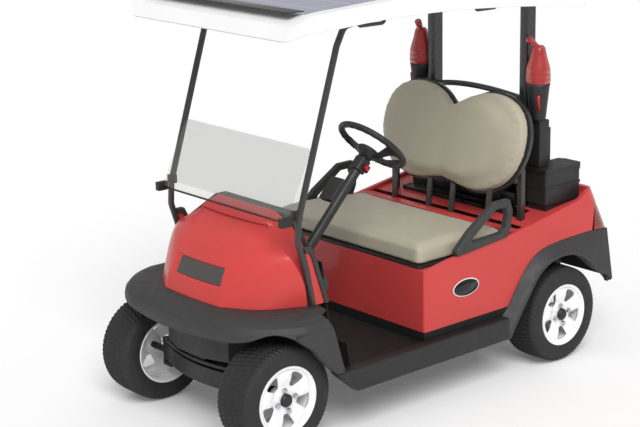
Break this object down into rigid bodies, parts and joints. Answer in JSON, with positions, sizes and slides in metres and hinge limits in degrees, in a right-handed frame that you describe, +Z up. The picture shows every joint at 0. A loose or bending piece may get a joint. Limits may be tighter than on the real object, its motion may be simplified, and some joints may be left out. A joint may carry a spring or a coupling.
{
  "type": "golf cart",
  "caption": "Open-sided electric golf cart: hollow body shells on a ladder frame, bench seat, folding windscreen, roof with solar panel; steering, road wheels and cooler lid move.",
  "frame": {"origin": "on the ground under the middle of the cart's overall box", "axes": "+X to the cart's left, -Y forwards, +Z up"},
  "size_m": [1.2, 2.3159, 1.8595],
  "materials": {
    "body_red": "gloss",
    "trim_grey": "satin",
    "black_plastic": "satin",
    "frame_metal": "satin",
    "spring_steel": "satin",
    "post_metal": "satin",
    "tyre": "matte",
    "rim": "gloss",
    "seat_vinyl": "satin",
    "roof_white": "satin",
    "solar": "gloss",
    "windscreen": "gloss",
    "lamp_red": "gloss",
    "bottle": "satin"
  },
  "bodies": {
    "chassis": {"chassis_frame": "frame_metal", "front_axle_beam": "frame_metal", "rear_axle": "frame_metal", "leaf_springs": "spring_steel", "battery_pack": "black_plastic", "floor_pan": "black_plastic", "rocker_panels": "trim_grey", "front_fender": "trim_grey", "front_cowl": "body_red", "dashboard": "trim_grey", "pedals": "frame_metal", "steering_column": "black_plastic", "seat_pod": "body_red", "rear_body": "body_red", "rear_fenders": "trim_grey", "tail_lamps": "lamp_red", "bag_support": "black_plastic", "seat_base": "black_plastic", "seat_cushion": "seat_vinyl", "seat_back": "seat_vinyl", "seat_back_frame": "post_metal", "armrests": "trim_grey", "front_posts": "post_metal", "rear_posts": "post_metal", "roof": "roof_white", "solar_panel": "solar", "windscreen": "windscreen", "sand_bottles": "bottle", "cooler_box": "black_plastic", "grab_handles": "post_metal", "pillar_panels": "body_red"},
    "cooler_lid": {"cooler_lid": "black_plastic"},
    "steering_wheel": {"steering_wheel": "black_plastic"},
    "knuckle_left": {"knuckle_left": "frame_metal"},
    "knuckle_right": {"knuckle_right": "frame_metal"},
    "tie_rod": {"tie_rod": "frame_metal"},
    "wheel_front_left": {"tyre_front_left": "tyre", "rim_front_left": "rim"},
    "wheel_front_right": {"tyre_front_right": "tyre", "rim_front_right": "rim"},
    "wheel_rear_left": {"tyre_rear_left": "tyre", "rim_rear_left": "rim"},
    "wheel_rear_right": {"tyre_rear_right": "tyre", "rim_rear_right": "rim"}
  },
  "joints": [
    {"name": "steering_wheel_turn", "type": "hinge", "parent": "chassis", "child": "steering_wheel", "pos_m": [0.268, -0.205, 1.175], "axis": [0, 0.6884, 0.7254], "range_deg": [-420, 420]},
    {"name": "knuckle_left_steer", "type": "hinge", "parent": "chassis", "child": "knuckle_left", "pos_m": [0.338, -0.923, 0.235], "axis": [0, 0, 1], "range_deg": [-28, 28]},
    {"name": "knuckle_right_steer", "type": "hinge", "parent": "chassis", "child": "knuckle_right", "pos_m": [-0.338, -0.923, 0.235], "axis": [0, 0, 1], "range_deg": [-28, 28]},
    {"name": "tie_rod_slide", "type": "slide", "parent": "chassis", "child": "tie_rod", "axis": [1, 0, 0], "range_m": [-0.046, 0.046]},
    {"name": "wheel_front_left_spin", "type": "hinge", "parent": "knuckle_left", "child": "wheel_front_left", "pos_m": [0.432, -0.923, 0.235], "axis": [1, 0, 0], "continuous": true},
    {"name": "wheel_front_right_spin", "type": "hinge", "parent": "knuckle_right", "child": "wheel_front_right", "pos_m": [-0.432, -0.923, 0.235], "axis": [1, 0, 0], "continuous": true},
    {"name": "wheel_rear_left_spin", "type": "hinge", "parent": "chassis", "child": "wheel_rear_left", "pos_m": [0.492, 0.74, 0.235], "axis": [1, 0, 0], "continuous": true},
    {"name": "wheel_rear_right_spin", "type": "hinge", "parent": "chassis", "child": "wheel_rear_right", "pos_m": [-0.492, 0.74, 0.235], "axis": [1, 0, 0], "continuous": true},
    {"name": "cooler_lid_hinge", "type": "hinge", "parent": "chassis", "child": "cooler_lid", "pos_m": [0.4205, 0.966, 0.936], "axis": [-1, 0, 0], "range_deg": [0, 100]}
  ],
  "couplings": [
    {"joint": "knuckle_left_steer", "follows": "steering_wheel_turn", "ratio": 0.066667},
    {"joint": "knuckle_right_steer", "follows": "steering_wheel_turn", "ratio": 0.066667},
    {"joint": "tie_rod_slide", "follows": "steering_wheel_turn", "m_per_rad": -0.006}
  ]
}
